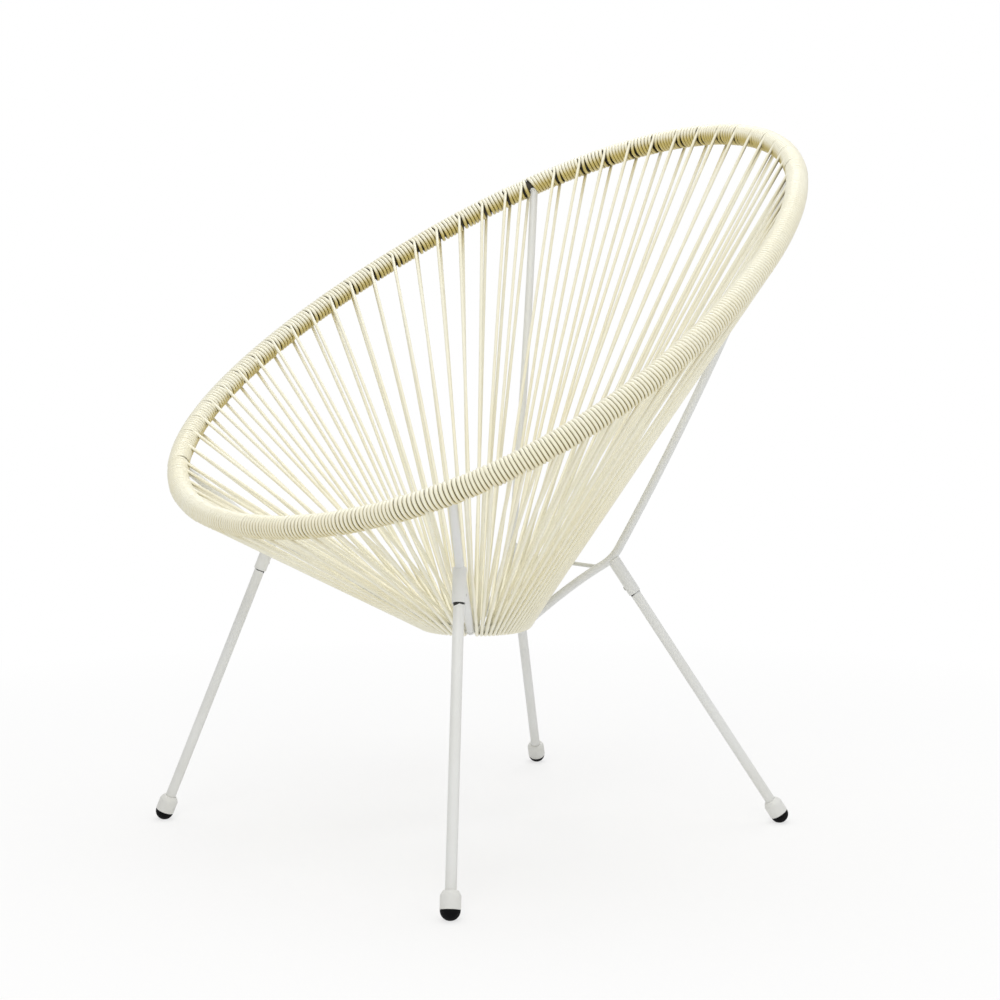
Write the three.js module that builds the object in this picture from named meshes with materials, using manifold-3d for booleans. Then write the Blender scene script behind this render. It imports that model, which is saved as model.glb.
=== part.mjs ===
import * as THREE from 'three';
import { mergeVertices } from 'three/addons/utils/BufferGeometryUtils.js';
import Module from 'manifold-3d';

const wasm = await Module();
wasm.setup();

// Lounge chair with one cord laced between a tilted egg-shaped hoop and a small level ring.
// Lengths are millimetres and angles degrees. The sitter faces -Y, their left is +X and +Z is up.
// The origin is on the floor under the middle of the chair.

// Fits
const fitGap = 0.3; // between pieces that touch
const cutOverrun = 2; // that a cutting body reaches past what it cuts
const facetSlack = 0.02; // by which facets may be merged

// Upper hoop
const hoopHalfWidth = 376;
const hoopHalfLength = 417.6;
const hoopCentreHeight = 608.4;
const hoopTilt = 32.65; // its back end is high
const hoopDiameter = 17.2;
const hoopEggShare = 0.112; // how much wider the front half is than the back half
const hoopSquareShare = 0.0335; // how much fuller the shoulders are than an ellipse's
const hoopSides = 8;

// Lower ring
const ringRadius = 60.5; // to the middle of its rod
const ringY = -31.2;
const ringHeight = 247.3;
const ringDiameter = 8;
const ringSides = 8;
const ringSegments = 36;

// Lacing
const cordDiameter = 4.8; // as wound
const strandDiameter = 4.5; // stretched between hoop and ring
const strandSides = 6;
const grooveDepth = 2.3; // between two bundles of turns
const innerStrandSetback = 7.5; // from the groove to the strand on the sitter's side
const outerStrandSetback = 3; // from the groove to the strand under the seat
const stayInnerSetback = 15.2; // the same two where the groove lies at a stay
const stayOuterSetback = 11.2;
const strandLeanReach = 6; // along a leaning strand until it clears the winding
const loopGap = 0.4; // between the ring and the loops round it
const armStrandGap = 1.2; // between a stay's arm and the outer strands beside it at the ring
const armLoopAngle = 3.6; // round the ring, from an arm to the nearest inner strands
const stayWindingGap = 1.5; // between a stay and the winding beside it
const partedWindingGap = 0.5; // between two windings on the hoop's side away from the stay
const sleeveSides = 8;
const bundleShares = [0.12, 0.7]; // of a bundle, where its level stretch starts and ends
const loopAngles = [30, 90, 150]; // of the corners of a loop round the ring
const loopShiftShares = [0, 0.5, 1]; // of the sideways step from the inner to the outer strand

// Stays: one at the front and one at the back of each side
const stayDiameter = 10;
const staySides = 10;
const upperSteps = 7; // of the rod above its bend, round it and of the arm
const bendSteps = 5;
const armSteps = 5;
const frontStay = {
  hoopShare: 0.388, // of the hoop's length, from its back to the stay
  bendShare: 0.55, // of the straight way from the ring up to the hoop
  bendOffset: { x: 15.5, y: -14.1, z: -7 }, // from there, on the left side
  bow: 0, // of the upper length, away from the seat
  lift: 0, // of the arm under the seat
  bendReach: 14,
  ringAngle: 134.5, // round the ring from its back
  ringDrop: 1.8, // of the arm's end under the ring's middle
};
const backStay = {
  hoopShare: 0.1045,
  bendShare: 0.185,
  bendOffset: { x: 21.2, y: 41.6, z: -26.3 },
  bow: 9,
  lift: 3.5,
  bendReach: 15,
  ringAngle: 34.5,
  ringDrop: 1.8,
};
const armInset = 2; // of an arm's end from the ring's middle

// Brace between the back stays' arms
const braceDiameter = 5;
const braceSetback = 17; // from the bend, along the arm
const braceSides = 10;

// Legs
const legDiameter = 12;
const legWall = 1.5;
const legSides = 14;
const frontFoot = { x: 273.5, y: -292 };
const backFoot = { x: 220, y: 261 };
const frontSocketLength = 39;
const backSocketLength = 48;
const socketDiameter = 15;
const socketDepth = 26; // of its bore
const legPlay = 0.6; // of the leg in the socket and the cup, on the diameter

// Set screws
const screwDiameter = 5;
const screwHeight = 10; // above the socket's lower end
const screwProud = 0.8; // of the socket
const screwRecessDepth = 1.6;
const screwRecessWidth = 2.6;
const screwSides = 12;
const recessSides = 6;
const frontScrewTurn = 180; // round the leg, from straight ahead
const backScrewTurn = -60;

// Feet
const cupDiameter = 22;
const cupHeight = 15; // of its straight wall
const cupFlare = 5; // height of the cone above it
const cupNeckDiameter = 16;
const cupWeb = 3; // between the leg's bore and the glide's
const glideDiameter = 21.4;
const glideStemDiameter = 12;
const glideStemLength = 5;
const glideFlat = 0.6; // cut off the dome where it stands
const glideRings = 4;

// Materials
const finish = (color, roughness, metalness) => (
  () => new THREE.MeshStandardMaterial({ color, roughness, metalness })
);
const cordMaterial = finish(0xece6cf, 0.35, 0);
const paintMaterial = finish(0xe4e4e0, 0.4, 0.1);
const rubberMaterial = finish(0x17171a, 0.8, 0);
const steelMaterial = finish(0xb8b8b6, 0.35, 0.9);

const radians = THREE.MathUtils.degToRad;
const chair = new THREE.Group();

function addPiece(name, geometry, material) {
  const mesh = new THREE.Mesh(geometry, material);
  mesh.name = name;
  chair.add(mesh);
}

// Solids for cutting and joining
function solidFrom(geometry) {
  const bare = geometry.clone();
  bare.deleteAttribute('normal');
  bare.deleteAttribute('uv');
  const welded = mergeVertices(bare);
  return new wasm.Manifold(new wasm.Mesh({
    numProp: 3,
    vertProperties: new Float32Array(welded.attributes.position.array),
    triVerts: new Uint32Array(welded.index.array),
  }));
}

function geometryFrom(solid) {
  const mesh = solid.asOriginal().simplify(facetSlack).getMesh();
  const geometry = new THREE.BufferGeometry();
  geometry.setAttribute('position', new THREE.BufferAttribute(mesh.vertProperties, 3));
  geometry.setIndex(new THREE.BufferAttribute(mesh.triVerts, 1));
  geometry.computeVertexNormals();
  return geometry;
}

// A closed body through rings of points, with flat ends unless the last ring joins the first
function loft(rings, closed) {
  const sides = rings[0].length;
  const spans = closed ? rings.length : rings.length - 1;
  const faces = [];
  for (let i = 0; i < spans; i += 1) {
    const here = i * sides;
    const there = ((i + 1) % rings.length) * sides;
    for (let j = 0; j < sides; j += 1) {
      const k = (j + 1) % sides;
      faces.push(here + j, here + k, there + k, here + j, there + k, there + j);
    }
  }
  if (!closed) {
    const last = spans * sides;
    for (let j = 1; j < sides - 1; j += 1) {
      faces.push(0, j + 1, j, last, last + j, last + j + 1);
    }
  }
  const geometry = new THREE.BufferGeometry();
  geometry.setFromPoints(rings.flat());
  geometry.setIndex(faces);
  return geometry;
}

// Points round a centre, from the first axis towards the second
function ringOfPoints(centre, firstAxis, secondAxis, sides, start) {
  return Array.from({ length: sides }, (_, i) => {
    const turn = radians(start + (360 * i) / sides);
    return centre.clone()
      .addScaledVector(firstAxis, Math.cos(turn))
      .addScaledVector(secondAxis, Math.sin(turn));
  });
}

// The hoop's middle line, from its back round by the sitter's left
class HoopCurve extends THREE.Curve {
  getPoint(share, target = new THREE.Vector3()) {
    const turn = 2 * Math.PI * share;
    const along = hoopHalfLength * Math.cos(turn);
    const shoulder = 1 - hoopEggShare * Math.cos(turn) + hoopSquareShare * Math.cos(2 * turn);
    return target.set(
      hoopHalfWidth * Math.sin(turn) * shoulder,
      along * Math.cos(radians(hoopTilt)),
      hoopCentreHeight + along * Math.sin(radians(hoopTilt)),
    );
  }
}

const hoopCurve = new HoopCurve();
hoopCurve.arcLengthDivisions = 1440;
const hoopLength = hoopCurve.getLength();
const hoopNormal = new THREE.Vector3(0, -Math.sin(radians(hoopTilt)), Math.cos(radians(hoopTilt)));

function hoopAt(arc) {
  const share = THREE.MathUtils.euclideanModulo(arc / hoopLength, 1);
  const point = hoopCurve.getPointAt(share);
  const tangent = hoopCurve.getTangentAt(share);
  return { point, tangent, inward: tangent.clone().cross(hoopNormal) };
}

function hoopRing(arc, radius, sides) {
  const { point, inward } = hoopAt(arc);
  const up = hoopNormal.clone().multiplyScalar(radius);
  return ringOfPoints(point, up, inward.multiplyScalar(radius), sides, 0);
}

function ringAt(angle) {
  const outward = new THREE.Vector3(Math.sin(radians(angle)), Math.cos(radians(angle)), 0);
  return {
    point: new THREE.Vector3(0, ringY, ringHeight).addScaledVector(outward, ringRadius),
    tangent: new THREE.Vector3(outward.y, -outward.x, 0),
    outward,
  };
}

// Stays, which part the lacing into four runs
const stays = [
  { name: 'back_left', side: 1, size: backStay },
  { name: 'front_left', side: 1, size: frontStay },
  { name: 'front_right', side: -1, size: frontStay },
  { name: 'back_right', side: -1, size: backStay },
];
for (const stay of stays) {
  const { hoopShare, bendShare, bendOffset, ringAngle } = stay.size;
  stay.arc = hoopLength * (stay.side > 0 ? hoopShare : 1 - hoopShare);
  stay.ringAngle = stay.side > 0 ? ringAngle : 360 - ringAngle;
  stay.bend = ringAt(stay.ringAngle).point.lerp(hoopAt(stay.arc).point, bendShare);
  stay.bend.add(new THREE.Vector3(stay.side * bendOffset.x, bendOffset.y, bendOffset.z));
}

// Curves end to end, each with its own number of steps
class SteppedPath extends THREE.Curve {
  constructor(pieces) {
    super();
    this.pieces = pieces;
    this.steps = pieces.reduce((sum, piece) => sum + piece.steps, 0);
  }

  getPoint(share, target = new THREE.Vector3()) {
    let place = share * this.steps;
    let index = 0;
    while (place > this.pieces[index].steps && index < this.pieces.length - 1) {
      place -= this.pieces[index].steps;
      index += 1;
    }
    return this.pieces[index].curve.getPoint(place / this.pieces[index].steps, target);
  }

  getPointAt(share, target) {
    return this.getPoint(share, target);
  }

  getTangentAt(share, target) {
    return this.getTangent(share, target);
  }
}

function roundRod(path, radius, sides) {
  const section = new THREE.Shape();
  section.absarc(0, 0, radius, 0, 2 * Math.PI);
  return new THREE.ExtrudeGeometry(section, {
    steps: path.steps,
    curveSegments: sides / 2,
    bevelEnabled: false,
    extrudePath: path,
  });
}

function stayPath({ bend, arc, ringAngle, size }) {
  const top = hoopAt(arc).point;
  const foot = ringAt(ringAngle);
  const end = foot.point.clone().addScaledVector(foot.outward, armInset);
  end.z -= size.ringDrop;
  const away = new THREE.Vector3(bend.x, bend.y - ringY, 0).normalize();
  const upperKnee = top.clone().lerp(bend, 1 / 2).addScaledVector(away, 2 * size.bow);
  const lowerKnee = bend.clone().lerp(end, 1 / 2);
  lowerKnee.z += 2 * size.lift;
  const bendStart = upperKnee.clone().sub(bend).setLength(size.bendReach).add(bend);
  const bendEnd = lowerKnee.clone().sub(bend).setLength(size.bendReach).add(bend);
  return new SteppedPath([
    { curve: new THREE.QuadraticBezierCurve3(top, upperKnee, bendStart), steps: upperSteps },
    { curve: new THREE.QuadraticBezierCurve3(bendStart, bend, bendEnd), steps: bendSteps },
    { curve: new THREE.QuadraticBezierCurve3(bendEnd, lowerKnee, end), steps: armSteps },
  ]);
}

for (const stay of stays) {
  stay.path = stayPath(stay);
}

// Lacing: each bundle of turns on the hoop ends in a groove, where two strands go to the ring and back
const runs = [
  { name: 'back', from: 3, to: 0, sections: [5, 4, 5] },
  { name: 'left', from: 0, to: 1, sections: [5, 5, 5, 5] },
  { name: 'front', from: 1, to: 2, sections: [4, 4, 4, 4] },
  { name: 'right', from: 2, to: 3, sections: [5, 5, 5, 5] },
];
const hoopRadius = hoopDiameter / 2;
const windingRadius = hoopRadius + fitGap + cordDiameter;
const strandHoopRadius = windingRadius - strandDiameter / 2;
const strandRingRadius = ringDiameter / 2 + loopGap + strandDiameter / 2;
const strandHalfFlat = (strandDiameter / 2) * Math.cos(Math.PI / strandSides);
const outerRingRadius = ringRadius + strandRingRadius;
const armMargin = THREE.MathUtils.radToDeg(
  Math.asin((stayDiameter / 2 + armStrandGap + strandHalfFlat) / outerRingRadius),
);

// Where each bundle starts and ends on the hoop, and where its strands meet the ring
function bundlesOf(run) {
  const acrossBack = run.from > run.to;
  const startArc = stays[run.from].arc - (acrossBack ? hoopLength : 0);
  const startAngle = stays[run.from].ringAngle - (acrossBack ? 360 : 0);
  const endArc = stays[run.to].arc;
  const endAngle = stays[run.to].ringAngle;
  const count = run.sections.reduce((sum, section) => sum + section, 0);
  const pitch = (endArc - startArc) / count;
  return Array.from({ length: count }, (_, i) => ({
    start: startArc + pitch * i,
    end: startArc + pitch * (i + 1),
    innerAngle: startAngle + armLoopAngle + ((endAngle - startAngle - 2 * armLoopAngle) * i) / (count - 1),
    outerAngle: startAngle + armMargin + ((endAngle - startAngle - 2 * armMargin) * i) / (count - 1),
    fromStay: i === 0 ? stays[run.from] : null,
    toStay: i === count - 1 ? stays[run.to] : null,
  }));
}

// Where a strand starts on the hoop; one that leans past its groove starts that much sooner
function strandEnd(arc, angle) {
  const ring = ringAt(angle);
  const groove = hoopAt(arc);
  const straight = ring.point.clone().sub(groove.point).normalize();
  const hoop = hoopAt(arc - strandLeanReach * Math.max(0, straight.dot(groove.tangent)));
  const down = ring.point.clone().sub(hoop.point).normalize();
  const lift = down.clone().cross(hoop.tangent).normalize();
  return { hoop, down, lift };
}

// The cord's middle line from the hoop, once round the ring, and back to the hoop
function strandLine(bundle) {
  const [innerSetback, outerSetback] = bundle.toStay
    ? [stayInnerSetback, stayOuterSetback]
    : [innerStrandSetback, outerStrandSetback];
  const inner = strandEnd(bundle.end - innerSetback, bundle.innerAngle);
  const outer = strandEnd(bundle.end - outerSetback, bundle.outerAngle);
  const down = inner.down.clone().add(outer.down).normalize();
  const line = [{
    point: inner.hoop.point.clone().addScaledVector(inner.lift, strandHoopRadius),
    side: inner.hoop.tangent,
  }];
  const reach = strandRingRadius / Math.cos(radians((loopAngles[1] - loopAngles[0]) / 2));
  loopAngles.forEach((loopAngle, i) => {
    const shift = loopShiftShares[i] * (bundle.outerAngle - bundle.innerAngle);
    const { point, tangent } = ringAt(bundle.innerAngle + shift);
    const fall = down.clone().addScaledVector(tangent, -down.dot(tangent)).normalize();
    const lift = fall.clone().cross(tangent);
    line.push({
      point: point
        .addScaledVector(lift, reach * Math.cos(radians(loopAngle)))
        .addScaledVector(fall, reach * Math.sin(radians(loopAngle))),
      side: tangent,
    });
  });
  line.push({
    point: outer.hoop.point.clone().addScaledVector(outer.lift, -strandHoopRadius),
    side: outer.hoop.tangent,
  });
  return line;
}

// A cord with flat sides along a line, with mitred corners and an edge towards the hoop and the ring
function strandBody(line) {
  const rings = line.map(({ point, side }, i) => {
    const ahead = line[Math.min(i + 1, line.length - 1)].point.clone().sub(point);
    const behind = point.clone().sub(line[Math.max(i - 1, 0)].point);
    const going = (i === line.length - 1 ? behind : ahead).normalize();
    const coming = i === 0 ? going : behind.normalize();
    const tangent = going.clone().add(coming).normalize();
    const across = side.clone().addScaledVector(tangent, -side.dot(tangent)).setLength(strandDiameter / 2);
    const mitre = 1 / tangent.dot(going);
    const out = tangent.clone().cross(across).multiplyScalar(mitre);
    return ringOfPoints(point, across, out, strandSides, 180 / strandSides);
  });
  return loft(rings, false);
}

// The end of a winding beside a stay, cut askew to leave room for the stay
function partedRing(arc, stay, direction) {
  const { point, tangent, inward } = hoopAt(arc);
  const lean = stay.path.getTangent(0);
  const towards = Math.atan2(lean.dot(inward), lean.dot(hoopNormal));
  const sideSlope = direction * (lean.dot(tangent) / Math.hypot(lean.dot(inward), lean.dot(hoopNormal)));
  const rootStep = stayDiameter / 2 + stayWindingGap + sideSlope * hoopRadius;
  const openSlope = (rootStep - partedWindingGap) / (windingRadius + hoopRadius);
  return hoopRing(arc, windingRadius, sleeveSides).map((corner, i) => {
    const turn = radians((360 * i) / sleeveSides);
    const step = partedWindingGap + openSlope * windingRadius * (1 + Math.cos(turn - towards));
    return corner.addScaledVector(tangent, direction * step);
  });
}

function sleeveBody(bundles) {
  const rootRadius = windingRadius - grooveDepth;
  const first = bundles[0];
  const rings = [first.fromStay
    ? partedRing(first.start, first.fromStay, 1)
    : hoopRing(first.start + fitGap / 2, rootRadius, sleeveSides)];
  bundles.forEach((bundle, i) => {
    const levelShares = bundleShares.slice(bundle.fromStay ? 1 : 0, bundle.toStay ? 1 : 2);
    for (const share of levelShares) {
      rings.push(hoopRing(THREE.MathUtils.lerp(bundle.start, bundle.end, share), windingRadius, sleeveSides));
    }
    if (bundle.toStay) {
      rings.push(partedRing(bundle.end, bundle.toStay, -1));
    } else {
      const last = i === bundles.length - 1;
      rings.push(hoopRing(bundle.end - (last ? fitGap / 2 : 0), rootRadius, sleeveSides));
    }
  });
  return loft(rings, false);
}

const allBundles = runs.flatMap(bundlesOf);
const hoopStations = allBundles.map((bundle) => bundle.end);
const boreRadius = hoopRadius + fitGap / Math.cos(Math.PI / hoopSides);

function hoopTube(radius) {
  return loft(hoopStations.map((arc) => hoopRing(arc, radius, hoopSides)), true);
}

const hoopBore = solidFrom(hoopTube(boreRadius)); // the hoop's room in cord and stays

function addLacing() {
  for (const run of runs) {
    const bundles = bundlesOf(run);
    let next = 0;
    run.sections.forEach((count, i) => {
      const section = bundles.slice(next, next + count);
      next += count;
      const strands = section.map((bundle) => solidFrom(strandBody(strandLine(bundle))));
      const winding = strands.reduce((body, strand) => body.add(strand), solidFrom(sleeveBody(section)));
      addPiece(`seat_cord_${run.name}_${i + 1}`, geometryFrom(winding.subtract(hoopBore)), cordMaterial());
    });
  }
}

// The least gap between a strand and its neighbour, from points along each stretch
const gapPoints = 16;

function leastStrandGap() {
  const lines = allBundles.map((bundle) => {
    const corners = strandLine(bundle).map(({ point }) => point);
    return corners.slice(1).map((point, i) => new THREE.Line3(corners[i], point));
  });
  let least = Infinity;
  lines.forEach((line, place) => {
    const neighbour = lines[(place + 1) % lines.length];
    for (const stretch of line) {
      for (let i = 0; i <= gapPoints; i += 1) {
        const point = stretch.at(i / gapPoints, new THREE.Vector3());
        for (const other of neighbour) {
          const nearest = other.closestPointToPoint(point, true, new THREE.Vector3());
          least = Math.min(least, point.distanceTo(nearest));
        }
      }
    }
  });
  return least - 2 * strandHalfFlat;
}

function addStays() {
  const ringCut = solidFrom(ringBody(ringDiameter / 2 + fitGap));
  for (const stay of stays) {
    const rod = solidFrom(roundRod(stay.path, stayDiameter / 2, staySides));
    addPiece(`stay_${stay.name}`, geometryFrom(rod.subtract(hoopBore).subtract(ringCut)), paintMaterial());
  }
}

function ringBody(radius) {
  const ring = new THREE.TorusGeometry(ringRadius, radius, ringSides, ringSegments);
  return ring.translate(0, ringY, ringHeight);
}

// A piece turned round an upright axis that starts at a point and leans along a direction
function standOn(geometry, point, axis) {
  const turn = new THREE.Quaternion().setFromUnitVectors(new THREE.Vector3(0, 0, 1), axis);
  return geometry.applyQuaternion(turn).translate(point.x, point.y, point.z);
}

// A turned piece from distances to the axis and heights, around +Z
function turned(profile, sides) {
  const points = profile.map(([radius, height]) => new THREE.Vector2(radius, height));
  return new THREE.LatheGeometry(points, sides).rotateX(Math.PI / 2);
}

// Legs run from the middle of a dome on the floor to the bend of their stay
const glideRadius = glideDiameter / 2;
const legs = stays.map((stay) => {
  const front = stay.size === frontStay;
  const place = front ? frontFoot : backFoot;
  const foot = new THREE.Vector3(stay.side * place.x, place.y, glideRadius - glideFlat);
  return {
    name: stay.name,
    foot,
    axis: stay.bend.clone().sub(foot).normalize(),
    length: stay.bend.distanceTo(foot),
    socketLength: front ? frontSocketLength : backSocketLength,
    screwTurn: stay.side * (front ? frontScrewTurn : backScrewTurn),
  };
});
const socketBore = (legDiameter + legPlay) / 2;
const legRadius = legDiameter / 2;

// A screw's own axis, out of the leg, turned round the leg from straight ahead
function screwPlace(leg) {
  const ahead = new THREE.Vector3(0, -1, 0);
  const outward = ahead.addScaledVector(leg.axis, -ahead.dot(leg.axis)).normalize();
  outward.applyAxisAngle(leg.axis, radians(leg.screwTurn));
  const height = leg.length - leg.socketLength + screwHeight;
  return { outward, point: leg.foot.clone().addScaledVector(leg.axis, height) };
}

function screwBody(leg, radius, start, end, sides) {
  const { outward, point } = screwPlace(leg);
  const body = new THREE.CylinderGeometry(radius, radius, end - start, sides).rotateX(Math.PI / 2);
  body.translate(0, 0, (start + end) / 2);
  return standOn(body, point, outward);
}

function addSocket(leg, stayCut) {
  const low = leg.length - leg.socketLength;
  const outer = socketDiameter / 2;
  const body = turned([
    [0, low + socketDepth],
    [socketBore, low + socketDepth],
    [socketBore, low],
    [outer, low],
    [outer, leg.length],
    [0, leg.length],
  ], legSides);
  const screwCut = screwBody(leg, screwDiameter / 2 + fitGap, legRadius, outer + cutOverrun, screwSides);
  const socket = solidFrom(standOn(body, leg.foot, leg.axis)).subtract(stayCut).subtract(solidFrom(screwCut));
  addPiece(`socket_${leg.name}`, geometryFrom(socket), paintMaterial());
}

function addScrew(leg) {
  const head = socketDiameter / 2 + screwProud;
  const screw = solidFrom(screwBody(leg, screwDiameter / 2, legRadius + fitGap, head, screwSides));
  const recessFloor = head - screwRecessDepth;
  const recess = screwBody(leg, screwRecessWidth / 2, recessFloor, head + cutOverrun, recessSides);
  addPiece(`set_screw_${leg.name}`, geometryFrom(screw.subtract(solidFrom(recess))), steelMaterial());
}

const cupWebLow = glideStemLength + fitGap;
const legStart = cupWebLow + cupWeb + fitGap;

function addLeg(leg) {
  const top = leg.length - leg.socketLength + socketDepth - fitGap;
  const inner = legRadius - legWall;
  const tube = turned([
    [inner, legStart],
    [legRadius, legStart],
    [legRadius, top],
    [inner, top],
    [inner, legStart],
  ], legSides);
  addPiece(`leg_${leg.name}`, standOn(tube, leg.foot, leg.axis), paintMaterial());
}

function addCup(leg) {
  const stemHole = glideStemDiameter / 2 + fitGap;
  const cup = turned([
    [0, cupWebLow],
    [stemHole, cupWebLow],
    [stemHole, fitGap],
    [cupDiameter / 2, fitGap],
    [cupDiameter / 2, cupHeight],
    [cupNeckDiameter / 2, cupHeight + cupFlare],
    [socketBore, cupHeight + cupFlare],
    [socketBore, cupWebLow + cupWeb],
    [0, cupWebLow + cupWeb],
  ], legSides);
  addPiece(`foot_cup_${leg.name}`, standOn(cup, leg.foot, leg.axis), paintMaterial());
}

function addGlide(leg) {
  const dome = Array.from({ length: glideRings + 1 }, (_, i) => {
    const turn = radians((90 * i) / glideRings);
    return [glideRadius * Math.sin(turn), -glideRadius * Math.cos(turn)];
  });
  const stem = glideStemDiameter / 2;
  const body = turned([...dome, [stem, 0], [stem, glideStemLength], [0, glideStemLength]], legSides);
  const floor = new THREE.BoxGeometry(glideDiameter * 2, glideDiameter * 2, glideDiameter);
  floor.translate(leg.foot.x, leg.foot.y, -glideDiameter / 2);
  const glide = solidFrom(standOn(body, leg.foot, leg.axis)).subtract(solidFrom(floor));
  addPiece(`glide_${leg.name}`, geometryFrom(glide), rubberMaterial());
}

// The brace crosses from the left back arm to the right one
function addBrace(stayCuts) {
  const [left, right] = [stays[0], stays[3]].map((stay) => {
    const reach = stay.path.getPoint(1).sub(stay.bend).setLength(braceSetback);
    return reach.add(stay.bend);
  });
  const path = new SteppedPath([{ curve: new THREE.LineCurve3(left, right), steps: 1 }]);
  const rod = solidFrom(roundRod(path, braceDiameter / 2, braceSides));
  const brace = rod.subtract(stayCuts[0]).subtract(stayCuts[3]);
  addPiece('back_brace', geometryFrom(brace), paintMaterial());
}

addPiece('upper_hoop', hoopTube(hoopRadius), paintMaterial());
addPiece('lower_ring', ringBody(ringDiameter / 2), paintMaterial());
addStays();
addLacing();
const stayCuts = stays.map((stay) => solidFrom(roundRod(stay.path, stayDiameter / 2 + fitGap, staySides)));
legs.forEach((leg, i) => {
  addSocket(leg, stayCuts[i]);
  addScrew(leg);
  addLeg(leg);
  addCup(leg);
  addGlide(leg);
});
addBrace(stayCuts);
console.log(`least gap between strands ${leastStrandGap().toFixed(2)} mm`);

export default chair;
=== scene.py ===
import math
import bpy
import numpy as np
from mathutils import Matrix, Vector


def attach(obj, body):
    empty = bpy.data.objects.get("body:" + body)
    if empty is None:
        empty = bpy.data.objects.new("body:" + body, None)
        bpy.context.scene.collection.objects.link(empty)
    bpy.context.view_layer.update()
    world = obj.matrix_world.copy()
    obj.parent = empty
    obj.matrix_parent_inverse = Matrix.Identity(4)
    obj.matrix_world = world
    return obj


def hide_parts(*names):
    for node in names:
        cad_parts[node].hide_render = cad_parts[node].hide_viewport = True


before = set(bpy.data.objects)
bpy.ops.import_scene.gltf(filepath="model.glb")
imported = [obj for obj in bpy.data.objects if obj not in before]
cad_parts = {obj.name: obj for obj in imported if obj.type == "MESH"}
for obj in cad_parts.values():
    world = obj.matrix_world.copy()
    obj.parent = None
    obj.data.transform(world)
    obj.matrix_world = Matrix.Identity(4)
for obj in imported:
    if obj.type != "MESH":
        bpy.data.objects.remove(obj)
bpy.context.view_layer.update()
print("frame loaded with", len(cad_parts), "solids")

mm = 0.001
twoPi = 2 * math.pi

# The chair's own measures, in millimetres and degrees. The sitter faces -Y and their left is +X.
hoopSize = {
    "halfWidth": 376, "halfLength": 417.6, "centreHeight": 608.4, "tilt": 32.65,
    "eggShare": 0.112, "squareShare": 0.0335,  # narrower at the back, fuller at both ends
    "tubeRadius": 8.6, "points": 360, "sides": 20,
}
ringSize = {"radius": 60.5, "y": -31.2, "height": 247.3, "rodRadius": 4, "points": 120, "sides": 16}
staySize = {
    "rodRadius": 5, "steps": (24, 12, 12), "sides": 20,
    "topSink": 2.5, "topClear": 3,  # how deep the rod starts in the tube's wall, and the path it skips after that
    "endOut": 2, "endDown": 1.8,  # its other end, against the lower ring
    "topWeld": 0.3, "topWeldRise": 0.4, "endWeld": -0.1, "endWeldBack": 4.5,
}
frontStay = {
    "hoopShare": 0.388, "ringAngle": 134.5, "bendShare": 0.55, "bendOffset": (15.5, -14.1, -7), "bendReach": 14,
    "bow": 0, "lift": 0, "heldTurns": 3, "foot": (273.5, -292), "socketLength": 39,
}
backStay = {
    "hoopShare": 0.1045, "ringAngle": 34.5, "bendShare": 0.185, "bendOffset": (21.2, 41.6, -26.3), "bendReach": 15,
    "bow": 9, "lift": 3.5, "heldTurns": 3, "foot": (220, 261), "socketLength": 48,
}


def unit(v):
    return v / np.linalg.norm(v, axis=-1, keepdims=True)


def smooth(t):
    t = np.clip(t, 0, 1)
    return t * t * (3 - 2 * t)


def bezier(a, b, c, t):
    return (1 - t) ** 2 * a + 2 * t * (1 - t) * b + t ** 2 * c


# ---- the hoop's middle line, measured along from its back by the sitter's left
tilt = math.radians(hoopSize["tilt"])


def hoopPoints(turn):
    along = hoopSize["halfLength"] * np.cos(turn)
    shoulder = 1 - hoopSize["eggShare"] * np.cos(turn) + hoopSize["squareShare"] * np.cos(2 * turn)
    across = hoopSize["halfWidth"] * np.sin(turn) * shoulder
    return np.stack([across, along * math.cos(tilt), hoopSize["centreHeight"] + along * math.sin(tilt)], -1)


tableSteps = 20000
tableTurns = np.linspace(0, twoPi, tableSteps + 1)
tableLengths = np.linalg.norm(np.diff(hoopPoints(tableTurns), axis=0), axis=1)
tableArcs = np.concatenate([[0], np.cumsum(tableLengths)])
hoopLength = tableArcs[-1]


def hoopAt(arc):  # point and tangent of the hoop's middle line
    turn = np.interp(np.mod(arc, hoopLength), tableArcs, tableTurns)
    step = 1e-4
    return hoopPoints(turn), unit(hoopPoints(turn + step) - hoopPoints(turn - step))


def ringAt(angle):  # point, tangent and outward direction of the lower ring
    a = np.radians(angle)
    flat = np.zeros_like(a)
    outward = np.stack([np.sin(a), np.cos(a), flat], -1)
    point = np.array([0, ringSize["y"], ringSize["height"]]) + ringSize["radius"] * outward
    return point, np.stack([np.cos(a), -np.sin(a), flat], -1), outward


def makeStay(name, side, size):
    arc = hoopLength * (size["hoopShare"] if side > 0 else 1 - size["hoopShare"])
    angle = size["ringAngle"] if side > 0 else 360 - size["ringAngle"]
    top, foot = hoopAt(arc)[0], ringAt(np.float64(angle))[0]
    bend = foot + (top - foot) * size["bendShare"] + np.array(size["bendOffset"]) * (side, 1, 1)
    return {"name": name, "side": side, "size": size, "arc": arc, "angle": angle, "bend": bend}


stays = [
    makeStay("back_left", 1, backStay),
    makeStay("front_left", 1, frontStay),
    makeStay("front_right", -1, frontStay),
    makeStay("back_right", -1, backStay),
]


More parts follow.
